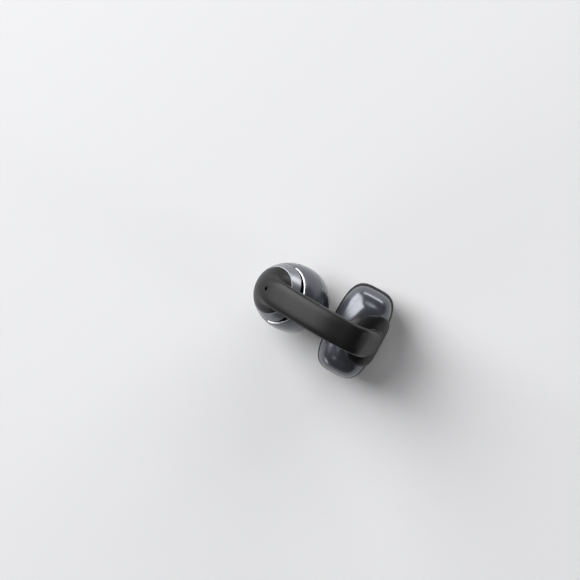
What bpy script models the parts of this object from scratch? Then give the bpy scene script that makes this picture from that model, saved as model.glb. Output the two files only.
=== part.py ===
"""Ear-clip bone conduction headphone, one side, standing on the feet of its two pods.

A round front pod sits in the bowl of the ear and holds the bone conduction transducer. A long
rear pod sits behind the ear and holds the battery and the main board. A springy strap, the
bridge, arches over the rim of the ear from one pod to the other.

Frame: metres, +Z up, origin on the ground below the middle of the whole clip. +X runs from the
front pod to the rear pod and +Y along the rear pod, so the clip is symmetric about Y = 0.
"""

import math

import bmesh
import bpy
import numpy as np
from mathutils import Matrix, Vector

MM = 0.001

# ---- driving dimensions ----------------------------------------------------------------------
GAP = 0.08 * MM  # between two pieces that touch on the real object
MERGE = 0.0005 * MM

# Front pod: an egg turned about an axis that leans back, away from the rear pod.
EGG_CENTRE = Vector((-5.9, 0, 7.68)) * MM
EGG_LEAN = math.radians(42)
EGG_HALF_LENGTH = 8.43 * MM
EGG_RADIUS = 6.65 * MM
EGG_WALL = 0.85 * MM
EGG_TOP = 5.85 * MM  # flat neck that carries the bridge's root
EGG_PARTING = -1.0 * MM  # joint between the two half shells
PAD_TOP = -5.9 * MM  # the soft skin pad covers the egg's end below this
PAD_THICKNESS = 0.5 * MM
NECK_THICKNESS = 0.9 * MM
NECK_BORE = 0.8 * MM
NECK_SHOULDER = 3.6 * MM  # radius where the collar's inner side turns up to the neck
NECK_SCREW_Y = 2.6 * MM
SCREW_HOLE_RADIUS = 0.42 * MM
FRAME_LOW = -4.2 * MM  # the transducer's frame, along the egg's axis
FRAME_HIGH = 1.2 * MM
SPRING_LOW = -0.1 * MM
SPRING_HIGH = 0.02 * MM
TRAVEL_ROOM = 0.15 * MM  # between the flat spring and the mass that moves beside it
SHELL_SEGMENTS = 48

# Vent: the crescent gap between the shell's edge and the paler collar above it, on the side that
# faces the rear pod. Heights are along the egg's axis.
VENT_HALF_ANGLE = math.radians(82.5)
VENT_EDGE = 3.66 * MM  # the shell's edge in the middle of the vent
VENT_EDGE_RISE = 0.54 * MM  # how much higher the edge is from the vent's ends on
VENT_WIDTH = 0.86 * MM
TRIM_HALF_ANGLE = math.radians(78)
TRIM_RADIUS = 0.16 * MM
TRIM_SEAT = 0.38 * MM  # the shell stops this far below its edge, where the bright trim is
MESH_HALF_ANGLE = math.radians(86)
MESH_REACH = 0.4 * MM

# Rear pod: a long rounded box with a flat foot.
BEAN_CENTRE = Vector((7.95, 0, 5.85)) * MM
BEAN_HALF_WIDTH = 5.15 * MM
BEAN_HALF_HEIGHT = 6.15 * MM
BEAN_LONGER = 4.05 * MM  # how much its half length is more than its half width
PLAN_POWER = 3.5  # of its plan, where 2 is an ellipse and more is squarer
BEAN_POWER = 2.4  # of its cross section
BEAN_WALL = 0.8 * MM
BEAN_PARTING = 2.35 * MM  # height of the joint between the half shells above the pod's middle
SEAL_INNER = 3.3 * MM
SEAL_OUTER = 3.5 * MM
BEAN_POINTS = 36
UPPER_RINGS = 7
LOWER_RINGS = 10
CONTACT_Y = 2.6 * MM
CONTACT_RADIUS = 0.8 * MM
CELL_CENTRE = Vector((8.0, -0.5, 4.6)) * MM
CELL_RADIUS = 3.15 * MM
CELL_HALF_LENGTH = 4.8 * MM
BOARD_LOW = 8.1 * MM
BOARD_HIGH = 8.55 * MM

# Bridge: a strap of soft rubber over a spring strip.
STRAP_HALF_WIDTH = 2.75 * MM
STRAP_HALF_THICKNESS = 1.15 * MM
STRAP_POWER = 4.5
ROOT_RADIUS = 4.65 * MM  # of the strap's domed root on the front pod
ROOT_INSET = 0.05 * MM  # the dome goes on with the egg's own shape, this far inside it
ROOT_HEIGHTS = (6.35 * MM, 6.8 * MM)  # of the dome's rings along the egg's axis
SADDLE_ANGLE = math.radians(50)  # middle of the saddle on the rear pod, above +X
SADDLE_HALF_SPAN = math.radians(60)
SADDLE_HALF_WIDTH = 5.3 * MM
SADDLE_EDGE = 0.24 * MM  # thickness of the saddle's lip
SADDLE_DOME = 1.3 * MM  # how far its middle would rise above the lip
SADDLE_SHARES = (0.6, 0.75, 0.87, 0.95)  # of its outline, for the rings of its dome
SADDLE_GAP = 0.18 * MM  # between the saddle's flat facets and the pod's
CHANNEL_HALF_WIDTH = 1.7 * MM
CHANNEL_HALF_THICKNESS = 0.68 * MM
CHANNEL_POWER = 6.0
MIC_HOLE_RADIUS = 0.38 * MM
REAR_SCREW_Y = 2.15 * MM

# The strap's centre line in the X-Z plane, from inside the front pod to inside the rear pod.
BRIDGE_LINE = [
    (-8.0, 10.02),
    (-8.85, 10.92),
    (-9.81, 11.99),
    (-10.35, 13.3),
    (-10.01, 14.77),
    (-8.05, 16.73),
    (-5.71, 18.52),
    (-1.56, 20.64),
    (2.56, 21.93),
    (5.87, 22.35),
    (7.93, 22.28),
    (9.12, 21.66),
    (9.85, 20.43),
    (10.69, 18.0),
    (11.3, 14.9),
    (11.65, 12.7),
    (11.5, 10.9),
    (10.5, 9.55),
    (9.45, 8.9),
]
# Places in BRIDGE_LINE.
FRONT_STRIP_END = 1
FRONT_BASE_AT = 2
MIC_AT = 4
FRONT_ROOT_AT = 5
HINGE_AT = 8
REAR_ROOT_AT = 13
REAR_BASE_AT = 16
REAR_STRIP_END = 17
HALF_SPLIT = 0.15 * MM  # half the gap between the strap's two halves at the flexing line

SEGMENTS = 32
SMALL_SEGMENTS = 20
RING_POINTS = 20

AXIS_N = Vector((-math.sin(EGG_LEAN), 0, math.cos(EGG_LEAN)))  # out of the egg's neck
AXIS_P = Vector((math.cos(EGG_LEAN), 0, math.sin(EGG_LEAN)))  # across it, in the X-Z plane
AXIS_Y = Vector((0, 1, 0))
SADDLE_AXIS = Vector((math.cos(SADDLE_ANGLE), 0, math.sin(SADDLE_ANGLE)))
ALONG_Y = Matrix.Rotation(-math.pi / 2, 4, "X")


# ---- scene and helpers -----------------------------------------------------------------------
def clear_scene():
    for obj in list(bpy.data.objects):
        bpy.data.objects.remove(obj)


def new_collection(name):
    made = bpy.data.collections.new(name)
    bpy.context.scene.collection.children.link(made)
    return made


def material(name, colour, roughness, metallic=0.0):
    made = bpy.data.materials.new(name)
    made.use_nodes = True
    shader = made.node_tree.nodes["Principled BSDF"]
    shader.inputs["Base Color"].default_value = (*colour, 1)
    shader.inputs["Roughness"].default_value = roughness
    shader.inputs["Metallic"].default_value = metallic
    return made


clear_scene()
PARTS = new_collection("ear_clip_headphone")
CUTTERS = new_collection("cutters")
RUBBER = material("soft_black", (0.03, 0.03, 0.03), 0.55)
GREY = material("gunmetal_gloss", (0.10, 0.105, 0.125), 0.22, 0.3)
PALE_GREY = material("pale_grey_gloss", (0.27, 0.28, 0.31), 0.25, 0.3)
CHROME = material("chrome", (0.9, 0.9, 0.92), 0.06, 1.0)
MESH_BLACK = material("mesh_black", (0.01, 0.01, 0.01), 0.6, 0.4)
DARK_PLASTIC = material("dark_plastic", (0.05, 0.05, 0.055), 0.5)
STEEL = material("steel", (0.55, 0.55, 0.57), 0.35, 1.0)
NICKEL = material("nickel", (0.7, 0.68, 0.64), 0.25, 1.0)
COPPER = material("copper", (0.72, 0.33, 0.16), 0.35, 1.0)
GOLD = material("gold", (0.85, 0.62, 0.25), 0.2, 1.0)
BOARD = material("board", (0.02, 0.12, 0.07), 0.45)
CHIP = material("chip", (0.02, 0.02, 0.022), 0.5)
FILM = material("film", (0.55, 0.28, 0.06), 0.4)
CELL = material("cell", (0.5, 0.52, 0.55), 0.3, 1.0)
SEAL = material("seal", (0.12, 0.12, 0.13), 0.8)


def frame_at(name, centre, rotation):
    """An empty that carries the pieces built about one axis."""
    empty = bpy.data.objects.new(name, None)
    PARTS.objects.link(empty)
    empty.location = centre
    empty.rotation_euler = rotation
    return empty


def place(name, mesh, paint, parent=None, cutter=False):
    obj = bpy.data.objects.new(name, mesh)
    (CUTTERS if cutter else PARTS).objects.link(obj)
    obj.parent = parent
    if cutter:
        obj.hide_render = True
        obj.display_type = "WIRE"
    else:
        obj.data.materials.append(paint)
    return obj


def mesh_of(bm, name):
    bmesh.ops.recalc_face_normals(bm, faces=bm.faces)
    mesh = bpy.data.meshes.new(name)
    bm.to_mesh(mesh)
    bm.free()
    mesh.shade_smooth()
    mesh.set_sharp_from_angle(angle=math.radians(35))
    return mesh


def turned(name, profile, paint, parent=None, steps=SEGMENTS, closed=True, cutter=False):
    """A shape turned about local Z. The profile's (radius, height) points run down its outer side."""
    bm = bmesh.new()
    points = [bm.verts.new((r, 0, z)) for r, z in profile]
    for a, b in zip(points, points[1:]):
        bm.edges.new((a, b))
    if closed:
        bm.edges.new((points[-1], points[0]))
    mesh = bpy.data.meshes.new(name)
    bm.to_mesh(mesh)
    bm.free()
    obj = place(name, mesh, paint, parent, cutter)
    screw = obj.modifiers.new("turn", "SCREW")
    screw.axis = "Z"
    screw.angle = 2 * math.pi
    screw.steps = screw.render_steps = steps
    screw.use_merge_vertices = True
    screw.merge_threshold = MERGE
    screw.use_smooth_shade = True
    return obj


def ring(name, inner, outer, low, high, paint, parent=None, steps=SMALL_SEGMENTS):
    """A plain turned ring."""
    profile = [(outer, high), (outer, low), (inner, low), (inner, high)]
    return turned(name, profile, paint, parent, steps)


def rod(name, radius, low, high, paint, parent=None, centre=(0, 0), segments=SMALL_SEGMENTS,
        cutter=False, turn=None):
    """A cylinder along local Z, or along the axis that the matrix turn gives it."""
    bm = bmesh.new()
    bmesh.ops.create_cone(bm, cap_ends=True, segments=segments, radius1=radius, radius2=radius,
                          depth=high - low)
    bmesh.ops.translate(bm, vec=(centre[0], centre[1], (low + high) / 2), verts=bm.verts)
    if turn:
        bmesh.ops.transform(bm, matrix=turn, verts=bm.verts)
    return place(name, mesh_of(bm, name), paint, parent, cutter)


def block(name, size, centre, paint, parent=None, bevel=0.0, cutter=False, turn=None):
    """A box, with rounded edges where bevel is given."""
    bm = bmesh.new()
    bmesh.ops.create_cube(bm, size=1)
    bmesh.ops.scale(bm, vec=size, verts=bm.verts)
    bmesh.ops.translate(bm, vec=centre, verts=bm.verts)
    if turn:
        bmesh.ops.transform(bm, matrix=turn, verts=bm.verts)
    obj = place(name, mesh_of(bm, name), paint, parent, cutter)
    if bevel:
        rounding = obj.modifiers.new("rounding", "BEVEL")
        rounding.width = bevel
        rounding.segments = 2
    return obj


def loft(name, rings, paint, parent=None, closed=False, cutter=False):
    """A solid through rings of points. Closed joins the last ring to the first."""
    bm = bmesh.new()
    rows = [[bm.verts.new(p) for p in row] for row in rings]
    pairs = list(zip(rows, rows[1:])) + ([(rows[-1], rows[0])] if closed else [])
    for low, high in pairs:
        for i in range(len(low)):
            j = (i + 1) % len(low)
            bm.faces.new((low[i], low[j], high[j], high[i]))
    if not closed:
        bm.faces.new(rows[0])
        bm.faces.new(rows[-1])
    return place(name, mesh_of(bm, name), paint, parent, cutter)


def cut(target, *cutters):
    for cutter in cutters:
        boolean = target.modifiers.new("cut_" + cutter.name, "BOOLEAN")
        boolean.operation = "DIFFERENCE"
        boolean.solver = "EXACT"
        boolean.object = cutter


# ---- shapes that several pieces follow -------------------------------------------------------
def egg_radius(height, inset=0.0):
    """Radius of the egg's surface, or of the surface that far inside it, at a height on its axis."""
    length = EGG_HALF_LENGTH - inset
    return (EGG_RADIUS - inset) * math.sqrt(max(0.0, 1 - (height / length) ** 2))


def egg_profile(low, high, count, inset=0.0):
    """Points down the egg's surface from high to low, closer together where it curves most."""
    length = EGG_HALF_LENGTH - inset
    first, last = math.acos(high / length), math.acos(max(-1.0, low / length))
    angles = [first + (last - first) * i / (count - 1) for i in range(count)]
    return [((EGG_RADIUS - inset) * math.sin(a), length * math.cos(a)) for a in angles]


def signed_power(value, power):
    return math.copysign(abs(value) ** power, value)


def bean_point(angle, y, lift=0.0):
    """A point of the rear pod's surface at an angle round its length, lifted off it."""
    reach = BEAN_HALF_WIDTH * abs(math.cos(angle)) ** (2 / BEAN_POWER)
    share = min(1.0, abs(y) / (reach + BEAN_LONGER))
    across = math.copysign(reach * (1 - share**PLAN_POWER) ** (1 / PLAN_POWER), math.cos(angle))
    rise = BEAN_HALF_HEIGHT * signed_power(math.sin(angle), 2 / BEAN_POWER)
    outward = Vector((math.cos(angle), 0, math.sin(angle)))
    return BEAN_CENTRE + Vector((across, y, rise)) + outward * lift


def saddle_point(turn, share, lift):
    """The saddle's outline on the rear pod. Turn 0 is its low edge, and share 0 its middle."""
    angle = SADDLE_ANGLE - math.cos(turn) * share * SADDLE_HALF_SPAN
    return bean_point(angle, math.sin(turn) * share * SADDLE_HALF_WIDTH, lift)


LINE = [Vector((x, 0, z)) * MM for x, z in BRIDGE_LINE]


def line_knots():
    """How far along the bridge each of its points is."""
    knots = [0.0]
    for a, b in zip(LINE, LINE[1:]):
        knots.append(knots[-1] + (b - a).length)
    return knots


KNOTS = line_knots()


def line_bends():
    """The curve's second derivatives at the bridge's points, for a smooth curve with free ends."""
    count = len(LINE)
    system, right = np.zeros((count, count)), np.zeros((count, 3))
    system[0, 0] = system[-1, -1] = 1
    for i in range(1, count - 1):
        before, after = KNOTS[i] - KNOTS[i - 1], KNOTS[i + 1] - KNOTS[i]
        system[i, i - 1:i + 2] = before, 2 * (before + after), after
        right[i] = 6 * ((LINE[i + 1] - LINE[i]) / after - (LINE[i] - LINE[i - 1]) / before)
    return [Vector(bend) for bend in np.linalg.solve(system, right)]


BENDS = line_bends()


def line_point(at):
    """A point of the bridge's centre line. At is a place in BRIDGE_LINE."""
    i = min(int(at), len(LINE) - 2)
    span = KNOTS[i + 1] - KNOTS[i]
    done = (at - i) * span
    left = span - done
    return (BENDS[i] * left**3 / (6 * span) + BENDS[i + 1] * done**3 / (6 * span)
            + (LINE[i] / span - BENDS[i] * span / 6) * left
            + (LINE[i + 1] / span - BENDS[i + 1] * span / 6) * done)


def station(at):
    """(place, direction, outward) of the bridge's centre line at a place in BRIDGE_LINE."""
    step = 0.02
    ahead, behind = line_point(min(at + step, len(LINE) - 1)), line_point(max(at - step, 0))
    along = (ahead - behind).normalized()
    return line_point(at), along, Vector((-along.z, 0, along.x))


def turns():
    return [2 * math.pi * k / RING_POINTS for k in range(RING_POINTS)]


def section(at, half_width, half_thickness, power):
    """A ring of points across the bridge. Point 0 is its outer side."""
    middle, _, outward = station(at)
    return [middle + outward * (half_thickness * signed_power(math.cos(turn), 2 / power))
            + AXIS_Y * (half_width * signed_power(math.sin(turn), 2 / power))
            for turn in turns()]


def strap_ring(at):
    return section(at, STRAP_HALF_WIDTH, STRAP_HALF_THICKNESS, STRAP_POWER)


def channel_ring(at):
    return section(at, CHANNEL_HALF_WIDTH, CHANNEL_HALF_THICKNESS, CHANNEL_POWER)


def beside_hinge(points, side):
    """A ring at the flexing line, moved to one side of it."""
    return [p + Vector((side * HALF_SPLIT, 0, 0)) for p in points]


def spread(first, last, count):
    return [first + (last - first) * i / (count - 1) for i in range(count)]


def flare(start, start_pull, end, end_pull, count):
    """Rings between two unlike ones. A pull is the way that each point leaves or arrives."""
    made = []
    for t in spread(0.0, 1.0, count)[1:-1]:
        a, b, c, d = 2*t**3 - 3*t**2 + 1, t**3 - 2*t**2 + t, -2*t**3 + 3*t**2, t**3 - t**2
        made.append([p * a + m * b + q * c + n * d
                     for p, m, q, n in zip(start, start_pull, end, end_pull)])
    return made


# ---- bridge ----------------------------------------------------------------------------------
def halves(first, last):
    """Every half place from first to last, either way. All the pieces in the strap share them."""
    count = round(abs(last - first) * 2) + 1
    return spread(first, last, count)


def facing_out(at):
    """A matrix whose Z points out of the bridge at a place on it."""
    middle, _, outward = station(at)
    return Matrix.Translation(middle) @ outward.to_track_quat("Z", "Y").to_matrix().to_4x4()


def root_ring(height, radius):
    """A ring of the domed root, level with the egg's neck. Point 0 is on the side of the strap's top."""
    middle = EGG_CENTRE + AXIS_N * height
    return [middle + (AXIS_Y * math.sin(turn) - AXIS_P * math.cos(turn)) * radius
            for turn in turns()]


def front_sleeve():
    seat = EGG_CENTRE + AXIS_N * (EGG_TOP + GAP)
    rings = [root_ring(EGG_TOP + GAP, ROOT_RADIUS)]
    rings += [root_ring(height, egg_radius(height) - ROOT_INSET) for height in ROOT_HEIGHTS]
    top = ROOT_HEIGHTS[-1]
    slope = -(EGG_RADIUS**2 * top) / (EGG_HALF_LENGTH**2 * egg_radius(top))
    root = strap_ring(FRONT_ROOT_AT)
    along = station(FRONT_ROOT_AT)[1]
    chords = [(q - p).length for p, q in zip(rings[-1], root)]
    middle = EGG_CENTRE + AXIS_N * top
    leave = []
    for p, turn in zip(rings[-1], turns()):
        under = ((1 - math.cos(turn)) / 2) ** 2
        climb = (AXIS_N + (p - middle).normalized() * slope).normalized()
        leave.append((climb * (1 - under) + along * under).normalized())
    rings += flare(rings[-1], [d * c * 1.1 for d, c in zip(leave, chords)],
                   root, [along * c * 0.9 for c in chords], 7)
    rings += [strap_ring(at) for at in halves(FRONT_ROOT_AT, HINGE_AT - 0.5)]
    rings.append(beside_hinge(strap_ring(HINGE_AT), -1))
    rings.append(beside_hinge(channel_ring(HINGE_AT), -1))
    rings += [channel_ring(at) for at in halves(HINGE_AT - 0.5, FRONT_BASE_AT + 0.5)]
    rings.append([p - AXIS_N * (p - seat).dot(AXIS_N) for p in channel_ring(FRONT_BASE_AT)])
    sleeve = loft("bridge_sleeve_front", rings, RUBBER, closed=True)
    cut(sleeve, rod("mic_hole_cutter", MIC_HOLE_RADIUS, 0.4 * MM, 2.5 * MM, None, cutter=True,
                    segments=12, turn=facing_out(MIC_AT)))


def saddle_lift(turn, share):
    """How far the saddle's outer side stands off the pod: a dome, flatter towards its low edge."""
    fullness = 0.15 + 0.85 * (1 - math.cos(turn)) / 2
    return SADDLE_GAP + SADDLE_EDGE + SADDLE_DOME * fullness * math.sqrt(1 - share**2)


def saddle_ring(share):
    return [saddle_point(turn, share, saddle_lift(turn, share)) for turn in turns()]


def rear_sleeve():
    low = [saddle_point(turn, 1.0, SADDLE_GAP) for turn in turns()]
    crown = saddle_ring(SADDLE_SHARES[0])
    arrive = [(q - p).normalized()
              for p, q in zip(saddle_ring(SADDLE_SHARES[0] - 0.06), crown)]
    root = strap_ring(REAR_ROOT_AT)
    along = station(REAR_ROOT_AT)[1]
    chords = [(q - p).length for p, q in zip(root, crown)]
    rings = [beside_hinge(strap_ring(HINGE_AT), 1)]
    rings += [strap_ring(at) for at in halves(HINGE_AT + 0.5, REAR_ROOT_AT)]
    rings += flare(root, [along * c for c in chords],
                   crown, [d * c * 0.8 for d, c in zip(arrive, chords)], 8)
    rings += [saddle_ring(share) for share in SADDLE_SHARES]
    rings += [saddle_ring(1.0), low]
    rings += [[saddle_point(turn, share, SADDLE_GAP) for turn in turns()]
              for share in (0.78, 0.56)]
    rings += [channel_ring(at) for at in halves(REAR_BASE_AT - 0.5, HINGE_AT + 0.5)]
    rings.append(beside_hinge(channel_ring(HINGE_AT), 1))
    loft("bridge_sleeve_rear", rings, RUBBER, closed=True)


def strip(name, half_width, half_thickness, offset, first, last, paint):
    """A flat strip that follows the bridge inside its channel."""
    rings = []
    for at in halves(first, last):
        middle, _, outward = station(at)
        middle = middle + outward * offset
        rings.append([middle + outward * u * half_thickness + AXIS_Y * v * half_width
                      for u, v in ((1, -1), (1, 1), (-1, 1), (-1, -1))])
    loft(name, rings, paint)


def bridge():
    front_sleeve()
    rear_sleeve()
    strip("bridge_spring_strip", 1.3 * MM, 0.13 * MM, -0.44 * MM, FRONT_STRIP_END,
          REAR_STRIP_END, NICKEL)
    strip("bridge_flex_cable", 1.0 * MM, 0.05 * MM, -0.17 * MM, 0, len(LINE) - 1, FILM)
    out = facing_out(MIC_AT)
    block("microphone", (1.1 * MM, 1.7 * MM, 0.42 * MM), (0, 0, 0.13 * MM), CHIP, turn=out)
    rod("microphone_mesh", 0.5 * MM, 0.42 * MM, 0.54 * MM, MESH_BLACK, turn=out, segments=16)


# ---- front pod -------------------------------------------------------------------------------
def beneath(height, deep):
    """(radius, height) of the point that lies this deep below the egg's surface at a height."""
    radius = egg_radius(height)
    slope = Vector((radius / EGG_RADIUS**2, height / EGG_HALF_LENGTH**2)).normalized()
    return radius - slope.x * deep, height - slope.y * deep


def shell_edge(azimuth):
    """Height of the vent's outer edge."""
    share = min(1.0, abs(azimuth) / VENT_HALF_ANGLE)
    return VENT_EDGE + VENT_EDGE_RISE * share**4


def shell_stop(azimuth):
    """Height of the shell itself, which leaves room for the trim along the vent."""
    return shell_edge(azimuth) - (TRIM_SEAT if abs(azimuth) <= VENT_HALF_ANGLE else 0)


def collar_edge(azimuth):
    """Height of the collar's lower edge. Past the vent's ends it meets the shell in a fine seam."""
    share = min(1.0, abs(azimuth) / VENT_HALF_ANGLE)
    return shell_edge(azimuth) + GAP + VENT_WIDTH * math.cos(math.pi / 2 * share) ** 2


def round_the_axis(shape, azimuths):
    """Rings of points, one at each azimuth. Shape gives each ring's (radius, height) points."""
    return [[Vector((r * math.cos(azimuth), r * math.sin(azimuth), z))
             for r, z in shape(azimuth)] for azimuth in azimuths]


def whole_turn():
    return [math.pi * (2 * k / SHELL_SEGMENTS - 1) for k in range(SHELL_SEGMENTS)]


def neck_screw_holes(pod, low, high):
    return [rod(f"neck_hole_cutter_{round(low / MM)}_{i}", SCREW_HOLE_RADIUS, low, high, None,
                pod, (0, side * NECK_SCREW_Y), 12, cutter=True)
            for i, side in enumerate((-1, 1))]


def front_upper_shell(pod):
    def shape(azimuth):
        stop = shell_stop(azimuth)
        inner_stop = beneath(stop, EGG_WALL)[1]
        return (egg_profile(EGG_PARTING, stop, 7)
                + egg_profile(EGG_PARTING, inner_stop, 5, EGG_WALL)[::-1])

    loft("front_shell_upper", round_the_axis(shape, whole_turn()), GREY, pod, closed=True)


def neck_collar(pod):
    under_neck = EGG_TOP - NECK_THICKNESS

    def shape(azimuth):
        edge = collar_edge(azimuth)
        return ([(NECK_BORE, EGG_TOP)] + egg_profile(edge, EGG_TOP, 4)
                + [beneath(edge, EGG_WALL), beneath(edge + MESH_REACH, EGG_WALL),
                   (NECK_SHOULDER, under_neck), (NECK_BORE, under_neck)])

    collar = loft("neck_collar", round_the_axis(shape, whole_turn()), PALE_GREY, pod,
                  closed=True)
    throat = block("neck_throat_cutter", (1.9 * MM, 3.8 * MM, 3 * MM),
                   (0, 0, EGG_TOP - 0.4 * MM), None, pod, cutter=True)
    cut(collar, throat, *neck_screw_holes(pod, under_neck - MM, EGG_TOP - 0.3 * MM))


def front_lower_shell(pod):
    seam = EGG_PARTING - GAP
    pad_seat = PAD_THICKNESS + GAP
    end_wall = EGG_WALL + pad_seat
    profile = egg_profile(end_wall - EGG_HALF_LENGTH, PAD_TOP + MM, 5, end_wall)[::-1]
    profile += egg_profile(PAD_TOP + 1.6 * MM, seam, 4, EGG_WALL)[::-1]
    profile += egg_profile(PAD_TOP, seam, 6)
    profile += [(egg_radius(PAD_TOP) - PAD_THICKNESS, PAD_TOP)]
    profile += egg_profile(pad_seat - EGG_HALF_LENGTH, PAD_TOP - 0.35 * MM, 5, pad_seat)
    turned("front_shell_lower", on_axis(profile), GREY, pod, closed=False)


def skin_pad(pod):
    profile = egg_profile(PAD_THICKNESS - EGG_HALF_LENGTH, PAD_TOP - 0.35 * MM, 5,
                          PAD_THICKNESS)[::-1]
    profile += [(egg_radius(PAD_TOP) - PAD_THICKNESS + GAP, PAD_TOP - GAP)]
    profile += egg_profile(-EGG_HALF_LENGTH, PAD_TOP - GAP, 8)
    turned("skin_contact_pad", on_axis(profile), RUBBER, pod, closed=False)


def on_axis(profile):
    """The profile with the points that stand on the axis set to exactly zero radius."""
    return [(0.0 if r < MERGE else r, z) for r, z in profile]


def front_shells(pod):
    front_upper_shell(pod)
    neck_collar(pod)
    front_lower_shell(pod)
    skin_pad(pod)
    ring("front_shell_seal", 5.2 * MM, 5.62 * MM, EGG_PARTING - 0.6 * MM, EGG_PARTING + 0.5 * MM,
         SEAL, pod, SEGMENTS)


def vent_pieces(pod):
    def trim_shape(azimuth):
        middle = shell_edge(azimuth) - TRIM_RADIUS
        around = [2 * math.pi * k / 8 for k in range(8)]
        return [beneath(middle + TRIM_RADIUS * math.cos(t), 0.05 * MM + TRIM_RADIUS * math.sin(t))
                for t in around]

    def mesh_shape(azimuth):
        low, high = EGG_WALL + 0.1 * MM, EGG_WALL + 0.22 * MM
        top = collar_edge(azimuth) + MESH_REACH * 0.6
        bottom = shell_edge(azimuth) - TRIM_SEAT - MESH_REACH
        return [beneath(top, low), beneath(top, high), beneath(bottom, high),
                beneath(bottom, low)]

    trim = round_the_axis(trim_shape, spread(-TRIM_HALF_ANGLE, TRIM_HALF_ANGLE, 25))
    loft("vent_trim", trim, CHROME, pod)
    mesh = round_the_axis(mesh_shape, spread(-MESH_HALF_ANGLE, MESH_HALF_ANGLE, 19))
    loft("vent_mesh", mesh, MESH_BLACK, pod)


def transducer(pod):
    base = FRAME_LOW + 0.5 * MM
    turned("transducer_frame",
           [(4.55 * MM, FRAME_HIGH), (4.55 * MM, FRAME_LOW), (0.5 * MM, FRAME_LOW),
            (0.5 * MM, base), (4.18 * MM, base), (4.18 * MM, FRAME_HIGH)],
           DARK_PLASTIC, pod)
    rod("vibration_post", 1.3 * MM, -6.7 * MM, FRAME_LOW - GAP, STEEL, pod)
    ring("coil_former", 2.42 * MM, 2.54 * MM, base + GAP, -1.5 * MM, FILM, pod)
    ring("voice_coil", 2.6 * MM, 3.02 * MM, base + 0.3 * MM, -1.6 * MM, COPPER, pod)
    yoke_high = SPRING_LOW - TRAVEL_ROOM
    clamp_low = SPRING_HIGH + GAP
    rivet_low = SPRING_HIGH + TRAVEL_ROOM
    turned("transducer_yoke",
           [(3.95 * MM, yoke_high), (3.95 * MM, -3.15 * MM), (3.36 * MM, -3.15 * MM),
            (3.36 * MM, -1.0 * MM), (0.35 * MM, -1.0 * MM), (0.35 * MM, yoke_high)],
           STEEL, pod, SMALL_SEGMENTS)
    rod("transducer_magnet", 2.1 * MM, -2.6 * MM, -1.0 * MM - GAP, NICKEL, pod)
    rod("pole_plate", 2.15 * MM, -3.15 * MM, -2.6 * MM - GAP, STEEL, pod)
    spring = ring("suspension_spring", 0.75 * MM, 4.1 * MM, SPRING_LOW, SPRING_HIGH, NICKEL, pod)
    arms = []
    for i in range(3):
        start = 2 * math.pi * i / 3
        path = [(start + 1.75 * t, (1.5 + 2.1 * t) * MM) for t in spread(0.0, 1.0, 8)]
        arms.append(loft(f"spring_arm_cutter_{i}", [
            [Vector(((r + u) * math.cos(a), (r + u) * math.sin(a), v))
             for u, v in ((-0.18 * MM, -MM), (0.18 * MM, -MM), (0.18 * MM, MM), (-0.18 * MM, MM))]
            for a, r in path], None, pod, cutter=True))
    cut(spring, *arms)
    ring("spring_clamp_ring", 3.75 * MM, 4.1 * MM, clamp_low, 1.1 * MM, STEEL, pod)
    turned("spring_rivet",
           [(0, 0.48 * MM), (1.05 * MM, 0.48 * MM), (1.05 * MM, rivet_low), (0.28 * MM, rivet_low),
            (0.28 * MM, -0.8 * MM), (0, -0.8 * MM)], STEEL, pod, 16, closed=False)


def front_electronics(pod):
    rod("front_board", 3.6 * MM, 1.95 * MM, 2.35 * MM, BOARD, pod)
    block("front_board_connector", (1.3 * MM, 2.6 * MM, 0.55 * MM), (0, 0, 2.71 * MM), CHIP, pod)
    high = EGG_TOP - NECK_THICKNESS - GAP
    low = high - 1.1 * MM
    anchor = block("front_strip_anchor", (2.3 * MM, 6.4 * MM, high - low),
                   (0, 0, (low + high) / 2), STEEL, pod, 0.15 * MM)
    slot = block("front_anchor_slot_cutter", (1.4 * MM, 3.2 * MM, 4 * MM), (0, 0, high), None,
                 pod, cutter=True)
    cut(anchor, slot, *neck_screw_holes(pod, low - MM, high + MM))
    for i, side in enumerate((-1, 1)):
        turned(f"front_anchor_screw_{i + 1}",
               screw_profile(low - 0.42 * MM, low - GAP, EGG_TOP - 0.4 * MM), STEEL,
               frame_child(pod, (0, side * NECK_SCREW_Y, 0)), 12, closed=False)


def screw_profile(head_low, head_high, tip):
    """A pan head screw that points up, with a dished head and a plain shank."""
    return [(0, tip), (0.22 * MM, tip), (0.34 * MM, tip - 0.12 * MM), (0.34 * MM, head_high),
            (0.66 * MM, head_high), (0.66 * MM, head_low + 0.15 * MM), (0.5 * MM, head_low),
            (0.24 * MM, head_low), (0.2 * MM, head_low + 0.2 * MM), (0, head_low + 0.2 * MM)]


def frame_child(parent, centre):
    empty = bpy.data.objects.new("axis", None)
    PARTS.objects.link(empty)
    empty.parent = parent
    empty.location = centre
    return empty


# ---- rear pod --------------------------------------------------------------------------------
def plan_point(turn, reach):
    """A point of the rear pod's plan at a turn round it, for its half width there."""
    return (reach * signed_power(math.cos(turn), 2 / PLAN_POWER),
            (reach + BEAN_LONGER) * signed_power(math.sin(turn), 2 / PLAN_POWER))


def bean_rows(inset, start, end, count):
    """Rings round the pod, inset from its surface, from one turn above its middle to another."""
    half_width, half_height = BEAN_HALF_WIDTH - inset, BEAN_HALF_HEIGHT - inset
    foot = inset - BEAN_CENTRE.z
    rows = []
    for turn in spread(start, end, count + 1)[:-1]:
        reach = half_width * math.cos(turn) ** (2 / BEAN_POWER)
        height = max(foot, half_height * signed_power(math.sin(turn), 2 / BEAN_POWER))
        rows.append([BEAN_CENTRE + Vector((*plan_point(2 * math.pi * k / BEAN_POINTS, reach),
                                           height)) for k in range(BEAN_POINTS)])
    return rows


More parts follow.
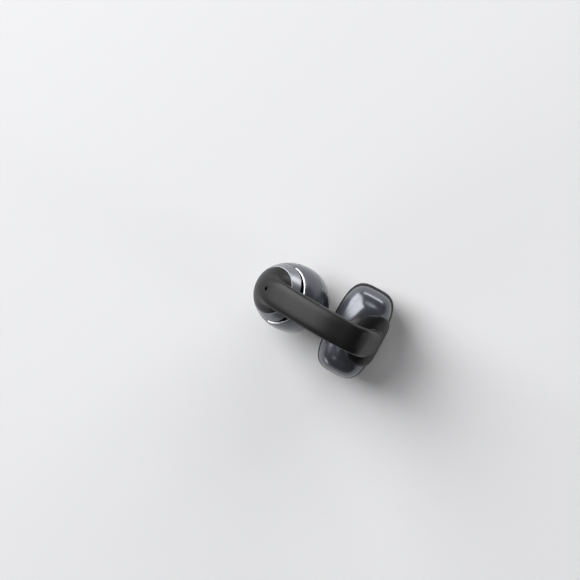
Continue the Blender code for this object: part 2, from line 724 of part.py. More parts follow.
def bean_shell(name, end, seam, count, paint):
    """One half shell, from the parting to the pod's top or foot."""
    sides = []
    for inset in (0.0, BEAN_WALL):
        share = (BEAN_PARTING + seam) / (BEAN_HALF_HEIGHT - inset)
        start = math.asin(share ** (BEAN_POWER / 2))
        sides.append(bean_rows(inset, start, end, count))
    outer, inner = sides
    return loft(name, inner[::-1] + outer, paint)


def saddle_frame(depth):
    """A matrix whose Z points into the rear pod along the saddle's axis, from a depth in it."""
    top = station(REAR_BASE_AT)[0]
    turn = (-SADDLE_AXIS).to_track_quat("Z", "Y").to_matrix().to_4x4()
    return Matrix.Translation(top - SADDLE_AXIS * depth) @ turn


def saddle_screw_holes(name, low, high):
    return [rod(f"{name}_screw_cutter_{i}", SCREW_HOLE_RADIUS, low, high, None,
                centre=(side * REAR_SCREW_Y, 0), segments=12, cutter=True, turn=saddle_frame(0))
            for i, side in enumerate((-1, 1))]


def rear_shells():
    upper = bean_shell("rear_shell_upper", math.pi / 2, GAP / 2, UPPER_RINGS, GREY)
    mouth = saddle_frame(0.0)
    throat = block("saddle_throat_cutter", (3.8 * MM, 1.9 * MM, 5 * MM), (0, 0, 0), None,
                   cutter=True, turn=mouth)
    cut(upper, throat, *saddle_screw_holes("shell", 0.35 * MM, 3 * MM))
    lower = bean_shell("rear_shell_lower", -math.pi / 2, -GAP / 2, LOWER_RINGS, DARK_PLASTIC)
    wells = []
    for i, side in enumerate((-1, 1)):
        centre = (BEAN_CENTRE.x, side * CONTACT_Y)
        wells.append(rod(f"contact_well_cutter_{i}", CONTACT_RADIUS + GAP, -MM, 2 * MM, None,
                         centre=centre, cutter=True))
        turned(f"charge_contact_{i + 1}",
               [(0, 0.93 * MM), (0.5 * MM, 0.93 * MM), (0.5 * MM, 0.45 * MM),
                (CONTACT_RADIUS, 0.4 * MM), (CONTACT_RADIUS, 0.05 * MM),
                (CONTACT_RADIUS - 0.05 * MM, 0), (0, 0)],
               GOLD, frame_child(None, (centre[0], centre[1], 0)), SMALL_SEGMENTS, closed=False)
    cut(lower, *wells)
    low, high = BEAN_PARTING - 0.5 * MM, BEAN_PARTING + 0.4 * MM
    rings = []
    for k in range(BEAN_POINTS):
        corners = [(*plan_point(2 * math.pi * k / BEAN_POINTS, half), height)
                   for half, height in ((SEAL_INNER, low), (SEAL_OUTER, low),
                                        (SEAL_OUTER, high), (SEAL_INNER, high))]
        rings.append([BEAN_CENTRE + Vector(corner) for corner in corners])
    loft("rear_shell_seal", rings, SEAL, closed=True)


def battery():
    turn = Matrix.Translation(CELL_CENTRE) @ ALONG_Y
    cell = rod("battery_cell", CELL_RADIUS, -CELL_HALF_LENGTH, CELL_HALF_LENGTH, CELL, turn=turn,
               segments=28)
    edge = cell.modifiers.new("rounding", "BEVEL")
    edge.width = 0.3 * MM
    edge.segments = 2
    rod("battery_terminal", 1.1 * MM, CELL_HALF_LENGTH + GAP, CELL_HALF_LENGTH + 0.35 * MM,
        NICKEL, turn=turn)
    cradle = ring("battery_cradle", CELL_RADIUS + GAP, CELL_RADIUS + 0.3 * MM, -3.6 * MM,
                  3.6 * MM, DARK_PLASTIC, steps=28)
    cradle.matrix_world = turn
    lid = block("cradle_cutter", (10 * MM, 12 * MM, 8 * MM),
                CELL_CENTRE + Vector((0, 0, 3.2 * MM)), None, cutter=True)
    cut(cradle, lid)


def board():
    block("main_board", (4.3 * MM, 11.4 * MM, BOARD_HIGH - BOARD_LOW),
          (7.4 * MM, 0, (BOARD_LOW + BOARD_HIGH) / 2), BOARD)
    # (name, width in X, length in Y, height, middle in X, middle in Y, material), sizes in mm
    chips = (
        ("radio_chip", 2.8, 2.8, 0.6, 6.8, -1.5, CHIP),
        ("power_chip", 2.0, 2.0, 0.5, 7.2, -4.4, CHIP),
        ("memory_chip", 1.6, 2.0, 0.45, 6.6, 1.6, CHIP),
        ("motion_sensor", 1.5, 1.5, 0.6, 6.6, 4.2, CHIP),
        ("clock_crystal", 1.0, 1.4, 0.4, 8.5, 4.2, NICKEL),
        ("flex_connector", 0.8, 2.6, 0.5, 8.85, 0.0, DARK_PLASTIC),
    )
    for name, wide, long, high, x, y, paint in chips:
        block(name, (wide * MM, long * MM, high * MM),
              (x * MM, y * MM, BOARD_HIGH + GAP + high * MM / 2), paint)
    block("antenna", (1.4 * MM, 8.6 * MM, 0.15 * MM), (6.4 * MM, 0, 10.1 * MM), COPPER)
    block("contact_flex", (2.4 * MM, 0.14 * MM, 6.4 * MM), (8.0 * MM, -5.82 * MM, 4.75 * MM), FILM)
    rod("case_magnet", 1.15 * MM, 2.3 * MM, 3.5 * MM, NICKEL,
        centre=(BEAN_CENTRE.x, 6.25 * MM))


def rear_anchor():
    deep = saddle_frame(0)
    low, high = 1.38 * MM, 2.34 * MM
    anchor = block("rear_strip_anchor", (5.5 * MM, 1.76 * MM, high - low),
                   (0, 0, (low + high) / 2), STEEL, bevel=0.12 * MM, turn=deep)
    slot = block("rear_anchor_slot_cutter", (3.2 * MM, 1.36 * MM, 4 * MM), (0, 0, high), None,
                 cutter=True, turn=deep)
    cut(anchor, slot, *saddle_screw_holes("anchor", low - MM, high + MM))
    upside_down = Matrix.Rotation(math.pi, 4, "X")
    for i, side in enumerate((-1, 1)):
        axis = frame_child(None, (0, 0, 0))
        axis.matrix_world = deep @ Matrix.Translation((side * REAR_SCREW_Y, 0, 0)) @ upside_down
        turned(f"rear_anchor_screw_{i + 1}",
               screw_profile(-high - 0.42 * MM, -high - GAP, -0.5 * MM), STEEL, axis, 12,
               closed=False)


def main():
    pod = frame_at("front_pod_axis", EGG_CENTRE, (0, -EGG_LEAN, 0))
    bridge()
    front_shells(pod)
    vent_pieces(pod)
    transducer(pod)
    front_electronics(pod)
    rear_shells()
    battery()
    board()
    rear_anchor()


main()
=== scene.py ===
import math

import bmesh
import bpy
import numpy as np
from mathutils import Matrix, Vector


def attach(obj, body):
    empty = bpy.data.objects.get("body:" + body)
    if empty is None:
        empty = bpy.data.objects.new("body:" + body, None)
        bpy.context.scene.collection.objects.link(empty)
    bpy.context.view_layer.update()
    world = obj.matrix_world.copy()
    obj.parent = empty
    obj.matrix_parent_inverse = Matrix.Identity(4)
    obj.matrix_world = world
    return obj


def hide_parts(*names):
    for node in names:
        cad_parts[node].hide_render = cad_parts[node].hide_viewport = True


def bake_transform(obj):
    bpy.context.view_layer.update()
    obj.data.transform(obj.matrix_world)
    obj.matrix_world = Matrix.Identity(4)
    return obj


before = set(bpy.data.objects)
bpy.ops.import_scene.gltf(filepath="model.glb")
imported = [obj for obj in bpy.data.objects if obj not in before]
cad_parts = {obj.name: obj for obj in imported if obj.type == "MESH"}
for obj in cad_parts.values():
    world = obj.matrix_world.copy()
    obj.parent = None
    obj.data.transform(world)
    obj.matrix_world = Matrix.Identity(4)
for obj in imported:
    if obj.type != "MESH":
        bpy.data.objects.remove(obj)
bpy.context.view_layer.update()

# Lengths are in millimetres in the frame's own axes, and become metres in made() and the carving
# tools. Only the floor, the lights and the camera are given in metres.
MM = 0.001

# ---- shared dimensions, the same as the frame's ----------------------------------------------
EGG_CENTRE = np.array((-5.9, 0.0, 7.68))
EGG_LEAN = math.radians(42)
EGG_LENGTH = 8.43
EGG_RADIUS = 6.65
EGG_WALL = 0.85
EGG_TOP = 5.85
PARTING = -1.0
PAD_TOP = -5.9
PAD_THICKNESS = 0.5
NECK_LOW = EGG_TOP - 0.9
NECK_BORE = 0.8
NECK_SHOULDER = 3.6
NECK_SCREW_Y = 2.6
SCREW_HOLE = 0.42
SEAM = 0.08
VENT_ANGLE = math.radians(82.5)
VENT_EDGE = 3.66
VENT_RISE = 0.54
VENT_WIDTH = 0.86
TRIM_RADIUS = 0.16
TRIM_SEAT = 0.38
TRIM_END = math.radians(81)
TRIM_TIP = math.radians(2.6)
MESH_END = math.radians(86)
MESH_REACH = 0.4

BEAN_CENTRE = np.array((7.95, 0.0, 5.85))
BEAN_WIDTH = 5.15
BEAN_HEIGHT = 6.15
BEAN_LONGER = 4.05
PLAN_POWER = 3.5
BEAN_POWER = 2.4
BEAN_WALL = 0.8
BEAN_PARTING = 2.35
CONTACT_Y = 2.6
REAR_SCREW_Y = 2.15
VALLEY_AT = 2.45
VALLEY_SPREAD = 0.85
VALLEY_DEPTH = 0.32

STRAP_WIDTH = 2.75
STRAP_THICKNESS = 1.15
STRAP_POWER = 4.5
CHANNEL_WIDTH = 1.7
CHANNEL_THICKNESS = 0.68
CHANNEL_POWER = 6.0
ROOT_RADIUS = 4.65
SADDLE_ANGLE = math.radians(50)
SADDLE_SPAN = math.radians(60)
SADDLE_WIDTH = 5.3
SADDLE_GAP = 0.1
SADDLE_EDGE = 0.22
SADDLE_DOME = 1.3
BRIDGE_LINE = np.array([
    (-8.0, 10.02), (-8.85, 10.92), (-9.81, 11.99), (-10.35, 13.3), (-10.01, 14.77),
    (-8.05, 16.73), (-5.71, 18.52), (-1.56, 20.64), (2.56, 21.93), (5.87, 22.35),
    (7.93, 22.28), (9.12, 21.66), (9.85, 20.43), (10.69, 18.0), (11.3, 14.9),
    (11.65, 12.7), (11.5, 10.9), (10.5, 9.55), (9.45, 8.9),
])
FRONT_BASE, MIC, FRONT_ROOT, REAR_ROOT, REAR_BASE = 2, 4, 5, 13, 16

AXIS_N = np.array((-math.sin(EGG_LEAN), 0, math.cos(EGG_LEAN)))
AXIS_P = np.array((math.cos(EGG_LEAN), 0, math.sin(EGG_LEAN)))
AXIS_Y = np.array((0.0, 1.0, 0.0))
AXIS_UP = np.array((0.0, 0.0, 1.0))
AROUND = 112
TURNS = np.arange(AROUND) * 2 * math.pi / AROUND


# ---- materials -------------------------------------------------------------------------------
class Paint:
    """One procedural material. Its pattern follows the piece's own coordinates, in metres."""

    def __init__(self, name, colour, roughness, metallic=0.0, coat=0.0, coat_roughness=0.05,
                 specular=0.5, sheen=0.0):
        self.made = bpy.data.materials.new(name)
        self.made.use_nodes = True
        self.tree = self.made.node_tree
        self.shader = self.tree.nodes["Principled BSDF"]
        self.coordinates = self.tree.nodes.new("ShaderNodeTexCoord")
        for socket, value in (("Base Color", (*colour, 1)), ("Roughness", roughness),
                              ("Metallic", metallic), ("Coat Weight", coat),
                              ("Coat Roughness", coat_roughness), ("Specular IOR Level", specular),
                              ("Sheen Weight", sheen)):
            self.shader.inputs[socket].default_value = value

    def link(self, a, b):
        self.tree.links.new(a, b)

    def noise(self, scale, detail=3.0, stretch=(1, 1, 1)):
        mapping = self.tree.nodes.new("ShaderNodeMapping")
        mapping.inputs["Scale"].default_value = stretch
        self.link(self.coordinates.outputs["Object"], mapping.inputs["Vector"])
        node = self.tree.nodes.new("ShaderNodeTexNoise")
        node.inputs["Scale"].default_value = scale
        node.inputs["Detail"].default_value = detail
        self.link(mapping.outputs["Vector"], node.inputs["Vector"])
        return node.outputs["Fac"]

    def ranged(self, value, low, high):
        node = self.tree.nodes.new("ShaderNodeMapRange")
        node.inputs["To Min"].default_value = low
        node.inputs["To Max"].default_value = high
        self.link(value, node.inputs["Value"])
        return node.outputs["Result"]

    def vary_roughness(self, value, low, high):
        self.link(self.ranged(value, low, high), self.shader.inputs["Roughness"])
        return self

    def vary_colour(self, value, first, second):
        node = self.tree.nodes.new("ShaderNodeMix")
        node.data_type = "RGBA"
        node.inputs["A"].default_value = (*first, 1)
        node.inputs["B"].default_value = (*second, 1)
        self.link(value, node.inputs["Factor"])
        self.link(node.outputs["Result"], self.shader.inputs["Base Color"])
        return self

    def bump(self, value, distance, strength=1.0):
        node = self.tree.nodes.new("ShaderNodeBump")
        node.inputs["Distance"].default_value = distance
        node.inputs["Strength"].default_value = strength
        self.link(value, node.inputs["Height"])
        self.link(node.outputs["Normal"], self.shader.inputs["Normal"])
        return self


def weave(paint, scale):
    """The height of a fine square weave."""
    split = paint.tree.nodes.new("ShaderNodeSeparateXYZ")
    paint.link(paint.coordinates.outputs["Object"], split.inputs["Vector"])
    waves = []
    for axis in ("X", "Y"):
        times = paint.tree.nodes.new("ShaderNodeMath")
        times.operation = "MULTIPLY"
        times.inputs[1].default_value = scale
        paint.link(split.outputs[axis], times.inputs[0])
        wave = paint.tree.nodes.new("ShaderNodeMath")
        wave.operation = "SINE"
        paint.link(times.outputs[0], wave.inputs[0])
        waves.append(wave.outputs[0])
    both = paint.tree.nodes.new("ShaderNodeMath")
    both.operation = "MULTIPLY"
    paint.link(waves[0], both.inputs[0])
    paint.link(waves[1], both.inputs[1])
    return both.outputs[0]


def paints():
    made = {}
    soft = Paint("soft_black", (0.007, 0.007, 0.007), 0.38, specular=0.25)
    soft.vary_roughness(soft.noise(900), 0.34, 0.4).bump(soft.noise(9000, 2), 0.000004, 0.35)
    made["soft_black"] = soft
    grey = Paint("gunmetal_gloss", (0.073, 0.077, 0.094), 0.3, 0.55, coat=0.75,
                 coat_roughness=0.18)
    flakes = grey.noise(14000, 1)
    grey.vary_roughness(flakes, 0.3, 0.34)
    grey.vary_colour(flakes, (0.07, 0.074, 0.091), (0.076, 0.08, 0.097))
    made["gunmetal_gloss"] = grey
    # Pale grey of the collar: partly its own paler tone, partly painted reflection standing in for
    # the light it catches.
    pale = Paint("pale_grey_gloss", (0.143, 0.149, 0.168), 0.31, 0.5, coat=0.8, coat_roughness=0.2)
    flakes = pale.noise(14000, 1)
    pale.vary_roughness(flakes, 0.3, 0.33)
    pale.vary_colour(flakes, (0.138, 0.144, 0.163), (0.148, 0.154, 0.173))
    made["pale_grey_gloss"] = pale
    chrome = Paint("chrome", (0.7, 0.7, 0.72), 0.17, 1.0)
    made["chrome"] = chrome.vary_roughness(chrome.noise(2500), 0.14, 0.2)
    net = Paint("mesh_black", (0.004, 0.004, 0.004), 0.8, specular=0.15)
    made["mesh_black"] = net.bump(weave(net, 42000), 0.00002, 0.6)
    # dark_plastic also covers the rear pod's lower shell outside, where its near black is painted
    # reflection of a dark edge.
    plastic = Paint("dark_plastic", (0.005, 0.005, 0.006), 0.5, specular=0.08)
    grain = plastic.noise(6000, 4)
    made["dark_plastic"] = plastic.vary_roughness(grain, 0.45, 0.58).bump(grain, 0.000004, 0.4)
    steel = Paint("steel", (0.55, 0.55, 0.57), 0.34, 1.0)
    lines = steel.noise(1500, 4, (1, 14, 1))
    made["steel"] = steel.vary_roughness(lines, 0.26, 0.44).bump(lines, 0.000003, 0.4)
    nickel = Paint("nickel", (0.68, 0.66, 0.61), 0.26, 1.0)
    made["nickel"] = nickel.vary_roughness(nickel.noise(2600), 0.2, 0.34)
    copper = Paint("copper", (0.72, 0.33, 0.16), 0.34, 1.0)
    wire = copper.noise(9000, 2, (1, 1, 6))
    made["copper"] = copper.vary_roughness(wire, 0.26, 0.42).bump(wire, 0.00001, 0.5)
    gold = Paint("gold", (0.85, 0.62, 0.27), 0.2, 1.0)
    made["gold"] = gold.vary_roughness(gold.noise(5000), 0.15, 0.27)
    board = Paint("board", (0.015, 0.09, 0.05), 0.42, coat=0.4, coat_roughness=0.2)
    fibre = board.noise(4200, 3)
    board.vary_colour(fibre, (0.012, 0.075, 0.042), (0.02, 0.115, 0.062))
    made["board"] = board.bump(fibre, 0.00001, 0.3)
    chip = Paint("chip", (0.018, 0.018, 0.02), 0.5)
    made["chip"] = chip.vary_roughness(chip.noise(7000, 4), 0.44, 0.6)
    film = Paint("film", (0.5, 0.24, 0.05), 0.36)
    streaks = film.noise(1400, 2, (1, 8, 1))
    made["film"] = film.vary_colour(streaks, (0.44, 0.2, 0.04), (0.56, 0.28, 0.06))
    cell = Paint("cell", (0.5, 0.52, 0.55), 0.32, 1.0)
    drawn = cell.noise(1800, 3, (1, 0.1, 1))
    made["cell"] = cell.vary_roughness(drawn, 0.25, 0.4)
    seal = Paint("seal", (0.1, 0.1, 0.11), 0.7)
    made["seal"] = seal.bump(seal.noise(5000, 3), 0.00001, 0.4)
    return {name: paint.made for name, paint in made.items()}


PAINTS = paints()


# ---- meshes ----------------------------------------------------------------------------------
def made(name, slots, rows, faces_of_second=None, closed=False, caps=True):
    """An object through rows of points. Slots name its material, and the second one's rows."""
    rows = np.asarray(rows, float)
    count, width = rows.shape[:2]
    mesh = bpy.data.meshes.new(name)
    quads = []
    second = []
    for i in range(count if closed else count - 1):
        a, b = i * width, ((i + 1) % count) * width
        for k in range(width):
            m = (k + 1) % width
            quads.append((a + k, a + m, b + m, b + k))
            if faces_of_second and faces_of_second(i, k):
                second.append(len(quads) - 1)
    if caps and not closed:
        quads.append(tuple(range(width - 1, -1, -1)))
        quads.append(tuple((count - 1) * width + k for k in range(width)))
    mesh.from_pydata([tuple(p) for p in (rows.reshape(-1, 3) * MM)], [], quads)
    for slot in slots:
        mesh.materials.append(PAINTS[slot])
    for index in second:
        mesh.polygons[index].material_index = 1
    bm = bmesh.new()
    bm.from_mesh(mesh)
    bmesh.ops.remove_doubles(bm, verts=bm.verts, dist=0.0002 * MM)
    bmesh.ops.dissolve_degenerate(bm, edges=bm.edges, dist=0.0001 * MM)
    bmesh.ops.recalc_face_normals(bm, faces=bm.faces)
    bm.to_mesh(mesh)
    bm.free()
    obj = bpy.data.objects.new(name, mesh)
    bpy.context.scene.collection.objects.link(obj)
    smooth(obj)
    return obj


def smooth(obj, angle=38):
    obj.data.shade_smooth()
    obj.data.set_sharp_from_angle(angle=math.radians(angle))


def prism(size, turn):
    """A box to carve with. Its size is in millimetres, and turn is a matrix in metres."""
    bm = bmesh.new()
    bmesh.ops.create_cube(bm, size=1)
    bmesh.ops.scale(bm, vec=[s * MM for s in size], verts=bm.verts)
    bmesh.ops.transform(bm, matrix=turn, verts=bm.verts)
    return tool(bm)


def drill(radius, low, high, turn, segments=48):
    bm = bmesh.new()
    bmesh.ops.create_cone(bm, cap_ends=True, segments=segments, radius1=radius * MM,
                          radius2=radius * MM, depth=(high - low) * MM)
    bmesh.ops.translate(bm, vec=(0, 0, (low + high) / 2 * MM), verts=bm.verts)
    bmesh.ops.transform(bm, matrix=turn, verts=bm.verts)
    return tool(bm)


def tool(bm):
    mesh = bpy.data.meshes.new("carving_tool")
    bm.to_mesh(mesh)
    bm.free()
    obj = bpy.data.objects.new("carving_tool", mesh)
    bpy.context.scene.collection.objects.link(obj)
    return obj


def carve(obj, *tools):
    """Cuts the tools out of the object's mesh for good."""
    for one in tools:
        step = obj.modifiers.new("carve", "BOOLEAN")
        step.operation = "DIFFERENCE"
        step.solver = "EXACT"
        step.object = one
    seen = obj.evaluated_get(bpy.context.evaluated_depsgraph_get())
    result = bpy.data.meshes.new_from_object(seen)
    obj.modifiers.clear()
    obj.data = result
    for one in tools:
        bpy.data.objects.remove(one)
    smooth(obj)


def rounded(points, radii, steps=5):
    """A closed outline with its corners rounded by the radii given, 0 where a point stays."""
    points = [np.array(p, float) for p in points]
    out = []
    for i, (p, radius) in enumerate(zip(points, radii)):
        if not radius:
            out.append(p)
            continue
        before, after = points[i - 1] - p, points[(i + 1) % len(points)] - p
        a, b = before / np.linalg.norm(before), after / np.linalg.norm(after)
        half = math.acos(max(-1, min(1, float(a @ b)))) / 2
        reach = min(radius / math.tan(half), 0.49 * np.linalg.norm(before),
                    0.49 * np.linalg.norm(after))
        start, end = p + a * reach, p + b * reach
        for t in np.linspace(0, 1, steps):
            out.append(start * (1 - t) ** 2 + p * 2 * t * (1 - t) + end * t**2)
    return out


def spread(first, last, count):
    return list(np.linspace(first, last, count))


# ---- the egg ---------------------------------------------------------------------------------
def egg_radius(height, inset=0.0):
    """The egg's radius at a height along its axis."""
    share = height / (EGG_LENGTH - inset)
    return (EGG_RADIUS - inset) * math.sqrt(max(0.0, 1 - share * share))


def egg_curve(high, low, count, inset=0.0):
    """(radius, height) points down the egg, without the two ends."""
    length = EGG_LENGTH - inset
    first, last = math.acos(high / length), math.acos(max(-1.0, low / length))
    angles = np.linspace(first, last, count + 2)[1:-1]
    return [((EGG_RADIUS - inset) * math.sin(a), length * math.cos(a)) for a in angles]


def beneath(height, deep):
    """The (radius, height) of the point that lies deep under the surface at a height."""
    radius = egg_radius(height)
    slope = np.array((radius / EGG_RADIUS**2, height / EGG_LENGTH**2))
    slope /= np.linalg.norm(slope)
    return radius - slope[0] * deep, height - slope[1] * deep


def shell_edge(azimuth):
    """Height of the upper shell's edge, the vent's lower side."""
    return VENT_EDGE + VENT_RISE * min(1.0, abs(azimuth) / VENT_ANGLE) ** 4


def trim_room(azimuth):
    """1 where the bright trim sits on the shell's edge, 0 past its ends."""
    past = (abs(azimuth) - math.radians(81.5)) / math.radians(1.5)
    return 1 - min(1.0, max(0.0, past))


def collar_edge(azimuth):
    """Height of the collar's edge, the vent's upper side."""
    share = min(1.0, abs(azimuth) / VENT_ANGLE)
    return shell_edge(azimuth) + SEAM + VENT_WIDTH * math.cos(math.pi / 2 * share) ** 2


def egg_place(radius, height, azimuth):
    return (EGG_CENTRE + AXIS_N * height
            + (AXIS_P * math.cos(azimuth) + AXIS_Y * math.sin(azimuth)) * radius)


def round_egg(shape, azimuths):
    return [[egg_place(r, h, azimuth) for r, h in shape(azimuth)] for azimuth in azimuths]


def whole_turn(count=240):
    return [2 * math.pi * k / count - math.pi for k in range(count)]


def egg_matrix():
    turn = Matrix((AXIS_P, AXIS_Y, AXIS_N)).transposed().to_4x4()
    return Matrix.Translation(Vector(EGG_CENTRE) * MM) @ turn


def front_shell_upper():
    def shape(azimuth):
        stop = shell_edge(azimuth) - TRIM_SEAT * trim_room(azimuth)
        inner = beneath(stop, EGG_WALL)
        outer = egg_curve(stop, PARTING, 22)
        inside = egg_curve(inner[1], PARTING, 10, EGG_WALL)[::-1]
        points = [(egg_radius(stop), stop)] + outer + [(egg_radius(PARTING), PARTING)]
        points += [(egg_radius(PARTING, EGG_WALL), PARTING)] + inside + [inner]
        radii = [0.1] + [0] * 22 + [0.09, 0.05] + [0] * 10 + [0.08]
        return rounded(points, radii)

    outside = 5 + 22 + 4
    return made("front_shell_upper_visual", ("gunmetal_gloss", "dark_plastic"),
                round_egg(shape, whole_turn()), lambda i, k: k >= outside, closed=True)


def neck_collar():
    def shape(azimuth):
        edge = collar_edge(azimuth)
        outer = egg_curve(EGG_TOP, edge, 10)
        points = [(NECK_BORE, EGG_TOP), (egg_radius(EGG_TOP), EGG_TOP)] + outer
        points += [(egg_radius(edge), edge), beneath(edge, EGG_WALL),
                   beneath(edge + 0.4, EGG_WALL), (NECK_SHOULDER, NECK_LOW),
                   (NECK_BORE, NECK_LOW)]
        return rounded(points, [0, 0.1] + [0] * 10 + [0.09, 0.05, 0, 0, 0])

    outside = 1 + 5 + 10 + 4
    # The collar's pale grey is partly painted reflection, standing in for the light it catches.
    collar = made("neck_collar_visual", ("pale_grey_gloss", "dark_plastic"),
                  round_egg(shape, whole_turn()), lambda i, k: k >= outside, closed=True)
    turn = egg_matrix()
    top = Matrix.Translation((0, 0, (EGG_TOP - 0.4) * MM))
    holes = [drill(SCREW_HOLE, NECK_LOW - 1, EGG_TOP - 0.3,
                   turn @ Matrix.Translation((0, side * NECK_SCREW_Y * MM, 0)))
             for side in (-1, 1)]
    carve(collar, prism((1.9, 3.8, 3.0), turn @ top), *holes)
    return collar


def vent_trim():
    """The bright bead along the vent. Its ends are round and hook in a little."""
    end, tip = TRIM_END, TRIM_TIP
    azimuths = spread(-end, end, 150)
    azimuths += [s * (end - tip * (1 - math.cos(t))) for s in (-1, 1) for t in spread(0, 1.5, 9)]
    azimuths = sorted(set(round(a, 6) for a in azimuths))[1:-1]

    def shape(azimuth):
        past = max(0.0, (abs(azimuth) - (end - tip)) / tip)
        radius = TRIM_RADIUS * math.sqrt(max(0.02, 1 - past * past))
        middle = shell_edge(azimuth) - TRIM_RADIUS + 0.07 * past**2
        return [beneath(middle + radius * math.cos(t), 0.05 + radius * math.sin(t))
                for t in np.arange(16) * math.pi / 8]

    return made("vent_trim_visual", ("chrome",), round_egg(shape, azimuths))


def vent_mesh():
    def shape(azimuth):
        low, high = EGG_WALL + 0.1, EGG_WALL + 0.2
        top, bottom = collar_edge(azimuth) + 0.24, shell_edge(azimuth) - TRIM_SEAT - MESH_REACH
        return ([beneath(h, low) for h in spread(bottom, top, 7)]
                + [beneath(h, high) for h in spread(top, bottom, 7)])

    return made("vent_mesh_visual", ("mesh_black",),
                round_egg(shape, spread(-MESH_END, MESH_END, 120)))


def front_shell_lower():
    seam = PARTING - SEAM
    seat = PAD_THICKNESS + SEAM
    wall = EGG_WALL + seat
    outer = egg_curve(seam, PAD_TOP, 24)
    under = egg_curve(PAD_TOP - 0.35, seat - EGG_LENGTH, 16, seat)
    high = egg_curve(PARTING - 0.5, PAD_TOP + 1.6, 10, EGG_WALL)[::-1]
    low = egg_curve(PAD_TOP + 1.0, wall - EGG_LENGTH, 10, wall)[::-1]
    points = [(egg_radius(seam), seam)] + outer + [(egg_radius(PAD_TOP), PAD_TOP)]
    points += [(egg_radius(PAD_TOP) - PAD_THICKNESS, PAD_TOP)] + under + [(0.0, seat - EGG_LENGTH)]
    points += [(0.0, wall - EGG_LENGTH)] + low + high + [(egg_radius(seam, EGG_WALL), seam)]
    radii = [0.09] + [0] * 24 + [0.08, 0.1] + [0] * 17 + [0] * 21 + [0.05]
    outline = rounded(points, radii)
    outside = 5 + 24 + 3
    return made("front_shell_lower_visual", ("gunmetal_gloss", "dark_plastic"),
                round_egg(lambda a: outline, whole_turn(180)),
                lambda i, k: k >= outside, closed=True)


def skin_contact_pad():
    inner = egg_curve(PAD_TOP - 0.35, PAD_THICKNESS - EGG_LENGTH, 16, PAD_THICKNESS)[::-1]
    outer = egg_curve(PAD_TOP - SEAM, -EGG_LENGTH, 26)
    rim = PAD_TOP - SEAM
    points = [(egg_radius(rim), rim)] + outer + [(0.0, -EGG_LENGTH)]
    points += [(0.0, PAD_THICKNESS - EGG_LENGTH)] + inner
    points += [(egg_radius(PAD_TOP) - PAD_THICKNESS + SEAM, rim)]
    outline = rounded(points, [0.14] + [0] * 28 + [0] * 16 + [0.08])
    return made("skin_contact_pad_visual", ("soft_black",),
                round_egg(lambda a: outline, whole_turn(180)), closed=True)


# ---- the long rear pod -----------------------------------------------------------------------
def signed_power(value, power):
    return math.copysign(abs(value) ** power, value)


def plan_point(turn, reach):
    """A point of the rear pod's plan at a turn round it, for its half width there."""
    return (reach * signed_power(math.cos(turn), 2 / PLAN_POWER),
            (reach + BEAN_LONGER) * signed_power(math.sin(turn), 2 / PLAN_POWER))


def plan_turns(count=168):
    """Turns round the plan at which its outline's points stand evenly apart."""
    fine = np.linspace(0, 2 * math.pi, 6001)
    outline = np.array([plan_point(t, BEAN_WIDTH) for t in fine])
    run = np.concatenate(([0], np.cumsum(np.linalg.norm(np.diff(outline, axis=0), axis=1))))
    return np.interp(np.arange(count) / count * run[-1], run, fine)


PLAN_TURNS = plan_turns()


def bean_ring(reach, height):
    return [BEAN_CENTRE + np.array((*plan_point(t, reach), height)) for t in PLAN_TURNS]


def bean_curve(first, last, count, inset):
    """(reach, height) points down or up one side of the pod, without its two ends."""
    width, high = BEAN_WIDTH - inset, BEAN_HEIGHT - inset
    points = []
    for turn in np.linspace(first, last, count + 2)[1:-1]:
        reach = width * math.cos(turn) ** (2 / BEAN_POWER)
        height = high * signed_power(math.sin(turn), 2 / BEAN_POWER)
        points.append((reach, max(height, inset - BEAN_CENTRE[2])))
    return points


def parting_turn(inset, seam):
    share = (BEAN_PARTING + seam) / (BEAN_HEIGHT - inset)
    return math.asin(share ** (BEAN_POWER / 2))


def parting_point(inset, seam):
    turn = parting_turn(inset, seam)
    return ((BEAN_WIDTH - inset) * math.cos(turn) ** (2 / BEAN_POWER), BEAN_PARTING + seam)


def rear_shell(name, end, seam, slots, valley):
    """A half shell: rings from the inside's middle line out round the parting edge and back."""
    outer = bean_curve(parting_turn(0, seam), end, 34, 0.0)
    inner = bean_curve(parting_turn(BEAN_WALL, seam), end, 14, BEAN_WALL)[::-1]
    top = math.copysign(1, end)
    crest, roof = top * BEAN_HEIGHT, top * (BEAN_HEIGHT - BEAN_WALL)
    if not valley:
        crest, roof = -BEAN_CENTRE[2], BEAN_WALL - BEAN_CENTRE[2]
    points = [(0.0, roof)] + inner + [parting_point(BEAN_WALL, seam), parting_point(0, seam)]
    points += outer + [(0.0, crest)]
    radii = [0] * 15 + [0.05, 0.1] + [0] * 35
    if not valley:
        flat = next(i for i, p in enumerate(points) if i > 17 and p[1] <= 1e-6 - BEAN_CENTRE[2])
        radii[flat - 1] = 0.0
    outline = rounded(points, radii)
    rows = [bean_ring(max(r, 0.0), h) for r, h in outline]
    if valley:
        rows = rows[:25] + [[sunk(p, r) for p in row]
                            for row, (r, _) in zip(rows[25:], outline[25:])]
    return made(name, slots, rows, lambda i, k: i < 19, caps=False)


def dip(reach):
    """The shallow valley between the pod's rim and its crowned middle."""
    return VALLEY_DEPTH * math.exp(-(((BEAN_WIDTH - reach) - VALLEY_AT) / VALLEY_SPREAD) ** 2)


def sunk(point, reach):
    """A point of the rear pod's top with the valley, which ends at the edge of the saddle."""
    across, y, _ = point - BEAN_CENTRE
    angle = math.acos(signed_power(across / BEAN_WIDTH, BEAN_POWER / 2))
    share = math.hypot((SADDLE_ANGLE - angle) / SADDLE_SPAN, y / SADDLE_WIDTH)
    fade = min(1.0, max(0.0, (share - 1.0) / 0.35))
    return point - AXIS_UP * (dip(reach) * fade * fade * (3 - 2 * fade))


